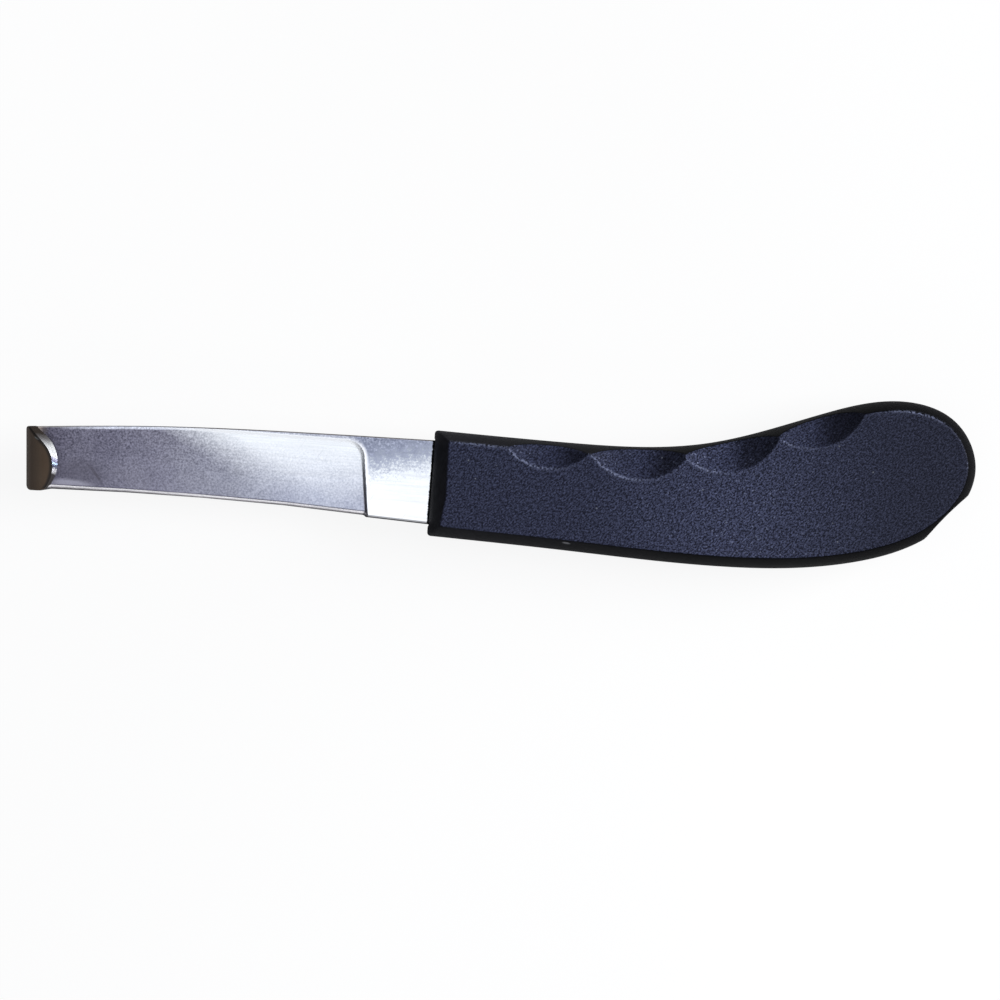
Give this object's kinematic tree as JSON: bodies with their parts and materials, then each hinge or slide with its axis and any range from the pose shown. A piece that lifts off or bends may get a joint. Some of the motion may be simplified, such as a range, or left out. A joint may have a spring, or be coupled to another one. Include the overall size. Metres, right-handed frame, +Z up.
{
  "type": "hoof knife",
  "caption": "Right-handed hoof knife: a bowed stainless blade with a curled hook at its tip, in a black moulded handle with finger scallops.",
  "frame": {"origin": "on the flat face that the knife rests on, below the tang's centre line, halfway along the handle", "axes": "+Z up, away from the resting face, the side that the hook curls towards; +X from the blade to the butt, along the tang; +Y towards the spine side, where the finger scallops are"},
  "size_m": [0.2087, 0.0394, 0.0185],
  "materials": {
    "blade_steel": "satin",
    "handle_plastic": "fine spark-eroded texture",
    "pin_steel": "turned"
  },
  "bodies": {
    "root": {"blade": "blade_steel", "handle_half_hook_side": "handle_plastic", "handle_half_rest_side": "handle_plastic", "tang_pin_front": "pin_steel", "tang_pin_middle": "pin_steel", "tang_pin_rear": "pin_steel"}
  },
  "joints": []
}
